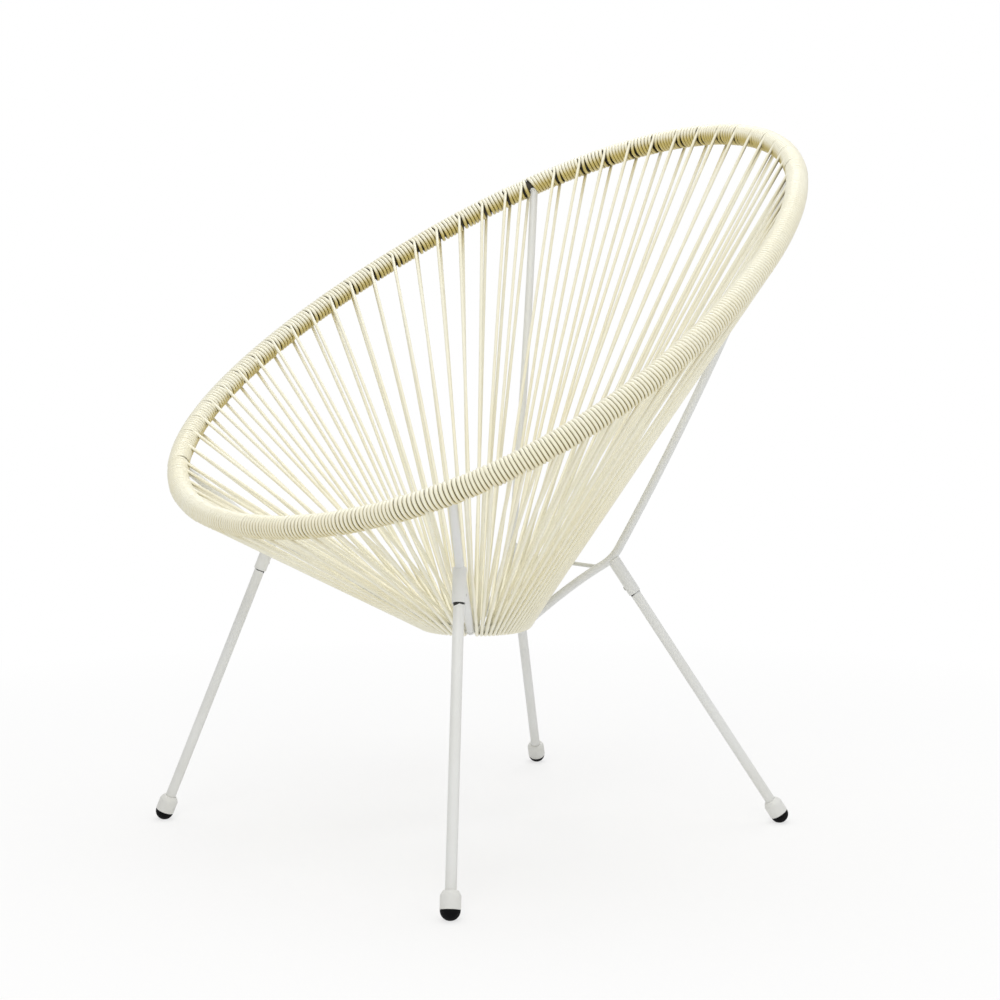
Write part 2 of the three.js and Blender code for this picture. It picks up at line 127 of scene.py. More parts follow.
# ---- shader and node helpers
class Wire:  # a socket that can be used in sums
    def __init__(self, graph, socket):
        self.graph, self.socket = graph, socket

    def math(self, operation, a, b):
        return self.graph.add("ShaderNodeMath", {"operation": operation}, {0: a, 1: b})

    def __add__(self, other):
        return self.math("ADD", self, other)

    def __sub__(self, other):
        return self.math("SUBTRACT", self, other)

    def __rsub__(self, other):
        return self.math("SUBTRACT", other, self)

    def __mul__(self, other):
        return self.math("MULTIPLY", self, other)

    def __truediv__(self, other):
        return self.math("DIVIDE", self, other)

    __radd__ = __add__
    __rmul__ = __mul__

    def clamp(self):
        return self.graph.add("ShaderNodeClamp", {}, {0: self})


class Graph:  # one node tree, a material's or a modifier's
    def __init__(self, tree):
        self.tree = tree

    def add(self, kind, settings=None, inputs=None, output=0):
        node = self.tree.nodes.new(kind)
        for key, value in (settings or {}).items():
            setattr(node, key, value)
        for key, value in (inputs or {}).items():
            self.set(node, key, value)
        return Wire(self, node.outputs[output])

    def set(self, node, key, value):
        if isinstance(value, Wire):
            self.tree.links.new(value.socket, node.inputs[key])
        else:
            node.inputs[key].default_value = value


def vectorMath(g, operation, a, b=None):
    output = "Value" if operation in ("DOT_PRODUCT", "LENGTH") else "Vector"
    return g.add("ShaderNodeVectorMath", {"operation": operation}, {0: a} if b is None else {0: a, 1: b}, output)


def noise(g, place, scale, detail):
    return g.add("ShaderNodeTexNoise", {}, {"Vector": place, "Scale": scale, "Detail": detail}, "Fac")


def blend(g, factor, a, b):
    return g.add("ShaderNodeMix", {"data_type": "RGBA"}, {"Factor": factor, "A": a, "B": b}, "Result")


def relief(g, height, strength, distance):
    return g.add("ShaderNodeBump", {}, {"Height": height, "Strength": strength, "Distance": distance})


def objectPlace(g):
    return g.add("ShaderNodeTexCoord", {}, {}, "Object")


def partOf(g, vector, axis):
    return g.add("ShaderNodeSeparateXYZ", {}, {"Vector": vector}, axis)


def storedOn(g, name, output="Fac"):  # what the piece's mesh carries
    return g.add("ShaderNodeAttribute", {"attribute_name": name}, {}, output)


def shownRays(g):  # 1 for the camera's own rays and for those that mirror or pass through something
    camera, glossy, through = (
        g.add("ShaderNodeLightPath", {}, {}, f"Is {kind} Ray") for kind in ("Camera", "Glossy", "Transmission"))
    return camera.math("MAXIMUM", camera.math("MAXIMUM", camera, glossy), through)


def colour(red, green, blue):  # sRGB 0 to 255 as linear
    parts = [c / 255 for c in (red, green, blue)]
    return tuple(c / 12.92 if c <= 0.04045 else ((c + 0.055) / 1.055) ** 2.4 for c in parts) + (1,)


def newMaterial(name):
    material = bpy.data.materials.new(name)
    material.use_nodes = True
    graph = Graph(material.node_tree)
    shader = next(n for n in graph.tree.nodes if n.type == "BSDF_PRINCIPLED")
    return material, graph, shader


# ---- materials, their scales and lengths in metres
cordLook = {
    "cream": colour(247, 244, 225), "aged": colour(238, 226, 182), "agedShare": 0.55,
    # the next two colours are painted shade: yellow for the grooves and lower faces, dark for the creases between
    # turns
    "paintedShade": colour(208, 190, 112), "grooveShade": 1.5, "lowFaceShade": 2.1, "lowFaceShadeFrom": 0.48,
    "creaseShade": colour(80, 68, 34), "creaseShadeShare": 0.9, "creaseShadeDepth": 2.3,
    "patchScale": 7.0, "fleckScale": 900.0, "drawScale": 60.0,
    "roughness": 0.3, "coat": 0.25, "coatRoughness": 0.2, "waveStrength": 0.15, "waveHeight": 0.00005,
}


def cordVinyl():
    look = cordLook
    material, g, shader = newMaterial("cordVinyl")
    place = objectPlace(g)
    patches = noise(g, place, look["patchScale"], 3.0)
    flecks = noise(g, place, look["fleckScale"], 2.0)
    along = g.add("ShaderNodeCombineXYZ", {}, {"X": storedOn(g, "along") * look["drawScale"]})
    drawn = noise(g, along, 1.0, 2.0)
    ageing = ((patches - 0.35) * 1.3 + (drawn - 0.5) * 0.6).clamp()
    base = blend(g, ageing * look["agedShare"], look["cream"], look["aged"])

    tucked = storedOn(g, "tucked")  # -1 on a turn's outer face and on strands, 1 against the hoop
    towards = storedOn(g, "hoopward", "Vector")
    wound = vectorMath(g, "LENGTH", towards)
    under = (partOf(g, towards, "Z") * 0.75 + 0.7).clamp()  # higher on the turns' lower faces, where more painted shade goes
    level = vectorMath(g, "NORMALIZE", vectorMath(g, "MULTIPLY", place, (1.0, 1.0, 0.0)))
    inside = vectorMath(g, "DOT_PRODUCT", towards, level) * 0.5 + 0.5
    faces = wound * (under - look["lowFaceShadeFrom"]) * inside * look["lowFaceShade"]  # painted shade on the turns' lower faces, most on the sitter's side, low down
    # painted yellow shade in the grooves between turns and on faces towards the hoop, more low down
    grooves = (tucked + 0.95) * look["grooveShade"] * (0.35 + patches) * under
    base = blend(g, (grooves + faces).clamp(), base, look["paintedShade"])
    # painted dark shade in the creases between turns and against the hoop, more low down
    creaseShade = ((tucked + 0.6) * look["creaseShadeDepth"] * (0.45 + patches) * (0.3 + under * 0.7)).clamp()
    base = blend(g, creaseShade * look["creaseShadeShare"], base, look["creaseShade"])

    g.set(shader, "Base Color", base)
    g.set(shader, "Roughness", look["roughness"] + (flecks - 0.5) * 0.06 + creaseShade * 0.25)
    g.set(shader, "Coat Weight", look["coat"])
    g.set(shader, "Coat Roughness", look["coatRoughness"])
    g.set(shader, "Normal", relief(g, drawn * 0.8 + flecks * 0.06, look["waveStrength"], look["waveHeight"]))
    return material


paintLook = {
    "white": colour(230, 231, 229), "worn": colour(216, 215, 208), "wornShare": 0.7,
    "cloudScale": 14.0, "splashTop": 0.09, "splashFade": 14.0,
    "gapShadow": colour(20, 19, 17), "jointWidth": 0.0007, "jointGrowth": 0.012, "jointScale": 90.0, "jointEdge": 4000.0,
    "roughness": 0.42, "peelScale": 260.0, "peelStrength": 0.1, "peelHeight": 0.00005,
}


def powderCoat(name, jointed=False):
    look = paintLook
    material, g, shader = newMaterial(name)
    place = objectPlace(g)
    peel = noise(g, place, look["peelScale"], 1.0)
    cloud = noise(g, place, look["cloudScale"], 4.0)
    splash = ((look["splashTop"] - partOf(g, place, "Z")) * look["splashFade"] * (cloud + 0.2)).clamp()
    worn = ((cloud - 0.45) * 1.6 + splash * 0.7).clamp()
    base = blend(g, worn * look["wornShare"], look["white"], look["worn"])
    if jointed:  # painted shadow of the gap where the leg leaves its socket, wider on one side
        growth = ((noise(g, place, look["jointScale"], 2.0) - 0.42) * look["jointGrowth"]).clamp()
        line = ((look["jointWidth"] + growth - storedOn(g, "belowSocket")) * look["jointEdge"]).clamp()
        base = blend(g, line, base, look["gapShadow"])
    g.set(shader, "Base Color", base)
    g.set(shader, "Roughness", look["roughness"] + (peel - 0.5) * 0.14 + splash * 0.15)
    g.set(shader, "Normal", relief(g, peel, look["peelStrength"], look["peelHeight"]))
    return material


steelLook = {"dark": colour(150, 149, 145), "light": colour(196, 195, 190), "lineScale": 1800.0, "roughness": 0.28}


def plainSteel():
    material, g, shader = newMaterial("plainSteel")
    lines = noise(g, objectPlace(g), steelLook["lineScale"], 2.0)
    g.set(shader, "Base Color", blend(g, lines, steelLook["dark"], steelLook["light"]))
    g.set(shader, "Metallic", 1.0)
    g.set(shader, "Roughness", steelLook["roughness"] + lines * 0.16)
    return material


rubberLook = {
    "black": colour(6, 6, 7), "dusty": colour(52, 50, 46), "dustShare": 0.5, "dustTop": 0.004, "dustFade": 130.0,
    "roughness": 0.55, "specular": 0.1, "grainScale": 700.0, "grainStrength": 0.25, "grainHeight": 0.0001,
}


def blackRubber():
    look = rubberLook
    material, g, shader = newMaterial("blackRubber")
    place = objectPlace(g)
    grain = noise(g, place, look["grainScale"], 3.0)
    dust = ((look["dustTop"] - partOf(g, place, "Z")) * look["dustFade"] * grain).clamp()
    g.set(shader, "Base Color", blend(g, dust * look["dustShare"], look["black"], look["dusty"]))
    g.set(shader, "Roughness", look["roughness"] + grain * 0.2)
    g.set(shader, "Specular IOR Level", look["specular"])
    g.set(shader, "Normal", relief(g, grain, look["grainStrength"], look["grainHeight"]))
    return material


hoopShadeLook = {"dark": colour(26, 23, 15), "light": colour(62, 55, 36), "shadeMottleScale": 60.0, "roughness": 0.5}


def hoopPaintedShade():  # the tube painted near black, as painted shade in the gaps between the cord's turns
    material, g, shader = newMaterial("hoopPaintedShade")
    paintedShade = noise(g, objectPlace(g), hoopShadeLook["shadeMottleScale"], 4.0)
    g.set(shader, "Base Color", blend(g, (paintedShade * 1.4 - 0.2).clamp(), hoopShadeLook["dark"], hoopShadeLook["light"]))
    g.set(shader, "Roughness", hoopShadeLook["roughness"] + paintedShade * 0.2)
    return material


finishes = {
    "cord": cordVinyl(), "paint": powderCoat("powderCoat"), "leg": powderCoat("legCoat", jointed=True),
    "steel": plainSteel(), "rubber": blackRubber(), "hoopShade": hoopPaintedShade(),
}
print("materials made")


# ---- one node tree sweeps a round section along every rod and cord
def sweepTree():
    tree = bpy.data.node_groups.new("sweepAlong", "GeometryNodeTree")
    face = tree.interface
    face.new_socket("Geometry", in_out="INPUT", socket_type="NodeSocketGeometry")
    face.new_socket("Radius", in_out="INPUT", socket_type="NodeSocketFloat")
    face.new_socket("Sides", in_out="INPUT", socket_type="NodeSocketInt")
    face.new_socket("Finish", in_out="INPUT", socket_type="NodeSocketMaterial")
    face.new_socket("Geometry", in_out="OUTPUT", socket_type="NodeSocketGeometry")
    g = Graph(tree)
    entry = tree.nodes.new("NodeGroupInput")
    given = {s.name: Wire(g, s) for s in entry.outputs if s.name}

    def named(name, kind):
        return g.add("GeometryNodeInputNamedAttribute", {"data_type": kind}, {"Name": name})

    def store(geometry, name, value):
        return g.add("GeometryNodeStoreNamedAttribute", {"data_type": "FLOAT", "domain": "POINT"},
                     {"Geometry": geometry, "Name": name, "Value": value})

    measured = tree.nodes.new("GeometryNodeCaptureAttribute")
    measured.capture_items.new("FLOAT", "along")
    measured.capture_items.new("VECTOR", "hoopward")
    g.set(measured, "Geometry", g.add("GeometryNodeMeshToCurve", {}, {"Mesh": given["Geometry"]}))
    g.set(measured, 1, g.add("GeometryNodeSplineParameter", {}, {}, "Length"))
    g.set(measured, 2, named("hoopward", "FLOAT_VECTOR"))
    curve, along, inwards = (Wire(g, measured.outputs[i]) for i in range(3))
    section = g.add("GeometryNodeCurvePrimitiveCircle", {}, {"Resolution": given["Sides"], "Radius": given["Radius"]})
    body = g.add("GeometryNodeCurveToMesh", {}, {
        "Curve": curve, "Profile Curve": section, "Scale": named("thick", "FLOAT"), "Fill Caps": True,
    })
    body = store(body, "along", along)
    facing = vectorMath(g, "DOT_PRODUCT", g.add("GeometryNodeInputNormal"), inwards)
    body = store(body, "tucked", facing + vectorMath(g, "LENGTH", inwards) - 1.0)
    body = g.add("GeometryNodeSetShadeSmooth", {}, {"Geometry": body, "Shade Smooth": True})
    body = g.add("GeometryNodeRealizeInstances", {}, {"Geometry": body})
    body = g.add("GeometryNodeSetMaterial", {}, {"Geometry": body, "Material": given["Finish"]})
    g.set(tree.nodes.new("NodeGroupOutput"), "Geometry", body)
    return tree


sweepAlong = sweepTree()


def keepPiece(obj, node):
    bpy.context.scene.collection.objects.link(obj)
    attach(obj, "root")
    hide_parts(node)


def sweep(name, lines, sides, slot):
    # Each line is (points in mm, radius or radii in mm, closed, directions towards the hoop or None)
    points, edges, thick, hoopward = [], [], [], []
    for line, radius, closed, towards in lines:
        first = len(points)
        count = len(line)
        points.extend(line)
        thick.extend(np.broadcast_to(radius, count))
        hoopward.extend(np.zeros((count, 3)) if towards is None else towards)
        edges.extend((first + i, first + i + 1) for i in range(count - 1))
        if closed:
            edges.append((first + count - 1, first))
    path = bpy.data.meshes.new(name + "_path")
    path.from_pydata((np.array(points) * mm).tolist(), edges, [])
    thickness = path.attributes.new("thick", "FLOAT", "POINT").data
    thickness.foreach_set("value", np.array(thick, np.float32) * mm)
    directions = path.attributes.new("hoopward", "FLOAT_VECTOR", "POINT").data
    directions.foreach_set("vector", np.array(hoopward, np.float32).ravel())
    host = bpy.data.objects.new(name + "_host", path)
    bpy.context.scene.collection.objects.link(host)
    modifier = host.modifiers.new("sweep", "NODES")
    modifier.node_group = sweepAlong
    sockets = {s.name: s.identifier for s in sweepAlong.interface.items_tree if s.in_out == "INPUT"}
    modifier[sockets["Radius"]] = 1.0
    modifier[sockets["Sides"]] = sides
    modifier[sockets["Finish"]] = finishes[slot]
    host.update_tag()
    shown = host.evaluated_get(bpy.context.evaluated_depsgraph_get())
    mesh = bpy.data.meshes.new_from_object(shown)
    mesh.name = name
    bpy.data.objects.remove(host)
    bpy.data.meshes.remove(path)
    if not mesh.materials:
        mesh.materials.append(finishes[slot])
    return bpy.data.objects.new(name, mesh)


# ---- lacing
lacing = {
    "cordRadius": 2.32, "strandRadius": 2.05, "leastRadius": 2.0, "skin": 0.1,  # skin: air between tube and cord
    "sides": 10, "turnPoints": 16, "strandPoints": 11, "loopPoints": 9,
    "setbacks": (3.6, 3), "staySetbacks": (15.2, 11.2),  # of the inner and outer strand before a groove or a stay
    "leanReach": 6, "innerMargin": 3.6, "outerMargin": 6.97, "loopRadius": 6.65, "loopRest": 0.1,
    "wander": 0.8, "seed": 11,
}
winding = {
    "spacing": (3.9, 5.2), "firstTurn": 3, "firstTurnSide": 4.6, "secondTurn": 9.8,  # after the last inner strand
    "topAngles": (90, 55), "lowAngles": (-65, -100),
    "passesAfterStay": 9, "passesBeforeStay": 6,
    "stayHalfGap": 7.3, "stayStep": 4.3, "stayLast": 3.6, "stayOpening": ((-160, -125, -80, 55), (0, 1, 1, 0)),
    "touching": 0.49, "crowdGap": 4.0, "crowdRise": 1.6, "arrivalShadeShare": 0.35,
}
runs = [
    {"name": "back", "from": 3, "to": 0, "sections": [5, 4, 5], "passes": (7, 8)},
    {"name": "left", "from": 0, "to": 1, "sections": [5, 5, 5, 5], "passes": (8, 8)},
    {"name": "front", "from": 1, "to": 2, "sections": [4, 4, 4, 4], "passes": (8, 7)},
    {"name": "right", "from": 2, "to": 3, "sections": [5, 5, 5, 5], "passes": (7, 7)},
]


def strandEnd(arc, angle):  # a strand that leans past its groove starts that much sooner
    ringPoint = ringAt(np.float64(angle))[0]
    point, tangent = hoopAt(arc)
    arc = arc - lacing["leanReach"] * max(0, float(unit(ringPoint - point) @ tangent))
    return {"arc": arc, "angle": angle, "down": unit(ringPoint - hoopAt(arc)[0])}


def bundlesOf(run):  # each bundle of turns and its strand, from one stay to the next
    start, end = stays[run["from"]], stays[run["to"]]
    startArc, startAngle = start["arc"], start["angle"]
    if run["from"] > run["to"]:  # this run starts before the middle of the back
        startArc, startAngle = startArc - hoopLength, startAngle - 360
    count = sum(run["sections"])
    pitch = (end["arc"] - startArc) / count
    sweepAngle = end["angle"] - startAngle

    def ringAngle(margin, share):
        return startAngle + margin + (sweepAngle - 2 * margin) * share

    made = []
    for i in range(count):
        first, last = i == 0, i == count - 1
        innerBack, outerBack = lacing["staySetbacks"] if last else lacing["setbacks"]
        groove = startArc + pitch * (i + 1)
        share = i / (count - 1)
        passes = run["passes"][i % 2]
        if first or last:
            passes = winding["passesAfterStay"] if first else winding["passesBeforeStay"]
        made.append({
            "inner": strandEnd(groove - innerBack, ringAngle(lacing["innerMargin"], share)),
            "outer": strandEnd(groove - outerBack, ringAngle(lacing["outerMargin"], share)),
            "stay": start if first else None, "stayArc": startArc, "passes": passes,
        })
    return made


bundles = [bundle for run in runs for bundle in bundlesOf(run)]

# The way down to the ring at each place along the hoop, so that the turns lie square to their strands
wayArcs = np.array([b[k]["arc"] for b in bundles for k in ("inner", "outer")])
wayDown = np.array([b[k]["down"] for b in bundles for k in ("inner", "outer")])
order = np.argsort(wayArcs)
wayArcs, wayDown = wayArcs[order], wayDown[order]
wayArcs = np.concatenate([wayArcs - hoopLength, wayArcs, wayArcs + hoopLength])
wayDown = np.concatenate([wayDown] * 3)


def hoopFrame(arc):  # point, direction to the sitter's side and direction away from the ring
    point, tangent = hoopAt(arc)
    down = np.stack([np.interp(arc, wayArcs, wayDown[:, i]) for i in range(3)], -1)
    lift = unit(np.cross(down, tangent))
    return point, lift, np.cross(lift, tangent)


def stayPath(stay):  # from the hoop, bowed to the bend, and on to the ring
    size, bend = stay["size"], stay["bend"]
    top = hoopAt(stay["arc"])[0]
    ringPoint, _, outward = ringAt(np.float64(stay["angle"]))
    end = ringPoint + outward * staySize["endOut"] - np.array([0, 0, staySize["endDown"]])
    away = unit(np.array([bend[0], bend[1] - ringSize["y"], 0]))
    upperKnee = (top + bend) / 2 + away * 2 * size["bow"]
    lowerKnee = (bend + end) / 2 + np.array([0, 0, 2 * size["lift"]])
    bendStart = bend + unit(upperKnee - bend) * size["bendReach"]
    bendEnd = bend + unit(lowerKnee - bend) * size["bendReach"]
    curves = ((top, upperKnee, bendStart), (bendStart, bend, bendEnd), (bendEnd, lowerKnee, end))
    line = [top[None]]
    for curve, count in zip(curves, staySize["steps"]):
        line.append(bezier(*curve, np.linspace(0, 1, count + 1)[1:, None]))
    return np.concatenate(line)


for stay in stays:
    stay["path"] = stayPath(stay)
    stay["lean"] = unit(stay["path"][1] - stay["path"][0])
    along = float(stay["lean"] @ hoopAt(stay["arc"])[1])  # the rod leans along the hoop before it is clear of the cord
    stay["slip"] = (hoopSize["tubeRadius"] + lacing["cordRadius"]) * along / math.sqrt(1 - along ** 2)


def turnsOf(before, bundle):
    # Arcs of the turns of one bundle: a row for each pass over the hoop, a column for each angle round it,
    # from the outer side (180) over the top (90) to the sitter's side (0) and under (-90) to the outer side again
    angles = np.linspace(180, -180, lacing["turnPoints"] + 1)
    wrap = hoopLength if bundle["inner"]["arc"] < before["inner"]["arc"] - hoopLength / 2 else 0
    lastInner, lastOuter = before["inner"]["arc"] - wrap, before["outer"]["arc"] - wrap
    inner, outer = bundle["inner"]["arc"], bundle["outer"]["arc"]
    count = bundle["passes"]
    packed = np.clip((inner - lastInner - winding["secondTurn"]) / (count - 2), *winding["spacing"])
    edge, nextEdge = (lastInner + lastOuter) / 2, (inner + outer) / 2
    passes = np.arange(count + 1)
    outerSide = lastOuter + (outer - lastOuter) * passes / count
    top = edge + (nextEdge - edge) * (passes + 0.5) / count
    sitterSide = inner - (count - 1 - passes) * packed
    sitterSide[0] = lastInner + winding["firstTurn"]
    (topStart, topEnd), (lowStart, lowEnd) = winding["topAngles"], winding["lowAngles"]
    arcs = np.zeros((count, len(angles)))
    for j in range(count):  # a wedge opens after the first turn, from the top down
        knots = [(180, outerSide[j]), (topStart, top[j]), (topEnd, top[j]),
                 (lowStart, sitterSide[j]), (lowEnd, sitterSide[j]), (-180, outerSide[j + 1])]
        if j == 0:
            knots.insert(3, (0, lastInner + winding["firstTurnSide"]))
        if j == count - 1:  # the last pass goes straight to where its strand leaves
            knots[2:4] = [(0, inner)]
        arcs[j] = np.interp(-angles, [-a for a, _ in knots], [b for _, b in knots])
    if bundle["stay"]:  # the turns part round the stay, in a V that closes at the top
        stay = bundle["stay"]
        middle = bundle["stayArc"] + stay["slip"]
        held = stay["size"]["heldTurns"] if stay["side"] > 0 else 1  # turns on the stay's near side
        opening = np.interp(angles, *winding["stayOpening"])
        first, lastHeld = middle + winding["stayHalfGap"], middle - winding["stayHalfGap"]
        step = min(winding["stayStep"], (inner - winding["stayLast"] - first) / (count - 2 - held))
        for j in range(count - 1):
            target = lastHeld - (held - 1 - j) * winding["stayStep"] if j < held else first + (j - held) * step
            arcs[j] += opening * (target - arcs[j])
    arcs[0, 0] = lastOuter
    return arcs, angles


def softened(values):  # each value drawn a little towards its neighbours
    return np.convolve(np.pad(values, 1, mode="edge"), [0.25, 0.5, 0.25], "valid")


def windingLine(before, bundle):  # points, radii and directions towards the hoop
    arcs, angles = turnsOf(before, bundle)
    count, columns = arcs.shape
    fullRadius, strandRadius = lacing["cordRadius"], lacing["strandRadius"]
    gaps = np.full(arcs.shape, fullRadius / winding["touching"])
    gaps[1:] = np.minimum(gaps[1:], np.diff(arcs, axis=0))
    gaps[:-1] = np.minimum(gaps[:-1], np.diff(arcs, axis=0))
    radii = np.clip(gaps * winding["touching"], lacing["leastRadius"], fullRadius)
    crowd = np.clip(winding["crowdGap"] - gaps, 0, winding["crowdRise"])
    crowd = crowd * (np.arange(count) % 2)[:, None]  # squeezed turns ride up a little
    leaves = (columns - 1) // 2  # the last pass ends halfway round, at the sitter's side
    line, thick = [], []
    for j in range(count):
        stop = leaves if j == count - 1 else columns - 1
        line.extend(zip(arcs[j, :stop], angles[:stop], crowd[j, :stop]))
        thick.extend(radii[j, :stop])
    line.append((arcs[-1, leaves], 0, 0))
    thick.append(strandRadius)
    arc, angle, rise = np.array(line).T
    rise = softened(rise)
    thick = np.array(thick)
    thick[:3] = np.minimum(thick[:3], np.linspace(strandRadius, fullRadius, 4)[:3])
    thick = softened(thick)
    point, lift, away = hoopFrame(arc)
    turn = np.radians(angle)[:, None]
    out = lift * np.cos(turn) + away * np.sin(turn)
    inwards = -out
    inwards[0] *= winding["arrivalShadeShare"]  # less painted shade on the cord where the strand arrives
    return point + out * (hoopSize["tubeRadius"] + lacing["skin"] + thick + rise)[:, None], thick, inwards


rng = np.random.default_rng(lacing["seed"])


def bowed(line, tangent):  # a strand's slight wander between its fixed ends
    share = np.linspace(0, 1, len(line))[:, None]
    depth = np.cross(unit(line[-1] - line[0]), tangent)
    shape = np.sin(math.pi * share) ** 1.5
    return line + shape * (tangent * rng.normal(0, lacing["wander"]) + depth * rng.normal(0, lacing["wander"] * 0.5))


def strandLine(bundle):  # down from the sitter's side, round the ring and up to the outer side
    inner, outer = bundle["inner"], bundle["outer"]
    reach = hoopSize["tubeRadius"] + lacing["skin"] + lacing["strandRadius"]
    topPoint, topLift, _ = hoopFrame(np.float64(inner["arc"]))
    endPoint, endLift, _ = hoopFrame(np.float64(outer["arc"]))
    down = unit(inner["down"] + outer["down"])
    loop = []
    for share in np.linspace(0, 1, lacing["loopPoints"]):
        shift = smooth((share - lacing["loopRest"]) / (1 - 2 * lacing["loopRest"]))
        point, tangent, _ = ringAt(np.float64(inner["angle"] + shift * (outer["angle"] - inner["angle"])))
        fall = unit(down - tangent * (down @ tangent))
        lift = np.cross(fall, tangent)
        turn = math.pi * share
        loop.append(point + lacing["loopRadius"] * (lift * math.cos(turn) + fall * math.sin(turn)))
    share = np.linspace(0, 1, lacing["strandPoints"] + 1)[:, None]
    start, end = topPoint + topLift * reach, endPoint - endLift * reach
    tangent = hoopAt(inner["arc"])[1]
    falling = bowed(start + (loop[0] - start) * share, tangent)
    rising = bowed(loop[-1] + (end - loop[-1]) * share, tangent)
    return np.concatenate([falling[1:-1], loop, rising[1:]])


def sectionLine(first, count):  # winding and strand by turns, as one unbroken cord
    points, thick, towards = [], [], []
    for k in range(first, first + count):
        line, radii, inwards = windingLine(bundles[k - 1], bundles[k])
        strand = strandLine(bundles[k])
        if k < first + count - 1:
            strand = strand[:-1]  # the next winding starts at this point
        points.extend([line, strand])
        thick.extend([radii, np.full(len(strand), lacing["strandRadius"])])
        towards.extend([inwards, np.zeros((len(strand), 3))])
    return np.concatenate(points), np.concatenate(thick), False, np.concatenate(towards)


laced = 0
for run in runs:
    for number, count in enumerate(run["sections"], 1):
        tail = f"{run['name']}_{number}"
        section = sweep("laced_cord_" + tail, [sectionLine(laced, count)], lacing["sides"], "cord")
        keepPiece(section, "seat_cord_" + tail)
        laced += count
print("cord laced in", laced, "bundles and", sum(len(run["sections"]) for run in runs), "sections")


# ---- hoop, ring, stays and brace, with their welds
weld = {"beadRadius": 1.5, "ripple": 0.18, "ripples": 12, "points": 48}


def beadRound(centre, axis, radius, shape=None):  # a closed weld bead round a rod, shape gives its rise
    axis = unit(axis)
    side = unit(np.cross(axis, [0.31, 0.17, 0.93]))
    other = np.cross(axis, side)
    turn = np.linspace(0, twoPi, weld["points"], endpoint=False)
    ray = np.cos(turn)[:, None] * side + np.sin(turn)[:, None] * other
    rise = np.zeros(len(turn)) if shape is None else shape(ray)
    thick = weld["beadRadius"] * (1 + weld["ripple"] * np.sin(turn * weld["ripples"]))
    return centre + ray * radius + axis * rise[:, None], thick, True, None


def saddleOn(tangent):  # how far a bead rises along its rod to follow the hoop's tube
    def rise(ray):
        across = np.linalg.norm(ray - np.outer(ray @ tangent, tangent), axis=1)
        outer = hoopSize["tubeRadius"] + staySize["topWeldRise"]
        return np.sqrt(np.maximum(outer ** 2 - (staySize["rodRadius"] * across) ** 2, 0))
    return rise


hoopLine = hoopAt(np.linspace(0, hoopLength, hoopSize["points"], endpoint=False))[0]
# the tube's near-black coat is painted shade for the gaps between the turns
hoopTube = sweep("hoop_tube", [(hoopLine, hoopSize["tubeRadius"], True, None)], hoopSize["sides"], "hoopShade")
keepPiece(hoopTube, "upper_hoop")
ringLine = ringAt(np.linspace(0, 360, ringSize["points"], endpoint=False))[0]
ringRod = sweep("ring_rod", [(ringLine, ringSize["rodRadius"], True, None)], ringSize["sides"], "paint")
keepPiece(ringRod, "lower_ring")

rodRadius = staySize["rodRadius"]
for stay in stays:
    top, tangent = hoopAt(stay["arc"])
    start = hoopSize["tubeRadius"] - staySize["topSink"]
    clear = np.linalg.norm(stay["path"] - top, axis=1) > start + staySize["topClear"]
    path = np.concatenate([[top + stay["lean"] * start], stay["path"][clear]])
    arm = unit(path[-1] - path[-2])
    lines = [
        (path, rodRadius, False, None),
        beadRound(top, stay["lean"], rodRadius + staySize["topWeld"], saddleOn(tangent)),
        beadRound(path[-1] - arm * staySize["endWeldBack"], arm, rodRadius + staySize["endWeld"]),
    ]
    keepPiece(sweep("stay_rod_" + stay["name"], lines, staySize["sides"], "paint"), "stay_" + stay["name"])

braceSize = {"radius": 2.5, "inFromBend": 17, "sink": 1, "weldOut": 0.9, "weldRadius": 2.7, "points": 25, "sides": 16}
left, right = (
    stay["bend"] + unit(stay["path"][-1] - stay["bend"]) * braceSize["inFromBend"] for stay in (stays[0], stays[3]))
across = unit(right - left)
left, right = left + across * (rodRadius - braceSize["sink"]), right - across * (rodRadius - braceSize["sink"])
lines = [
    (left + (right - left) * np.linspace(0, 1, braceSize["points"])[:, None], braceSize["radius"], False, None),
    beadRound(left + across * braceSize["weldOut"], across, braceSize["weldRadius"]),
    beadRound(right - across * braceSize["weldOut"], across, braceSize["weldRadius"]),
]
keepPiece(sweep("brace_rod", lines, braceSize["sides"], "paint"), "back_brace")
print("frame swept")


# ---- legs, turned round their own axes
lathe = {"sides": 40, "sharpAngle": 38, "filletSteps": 3}


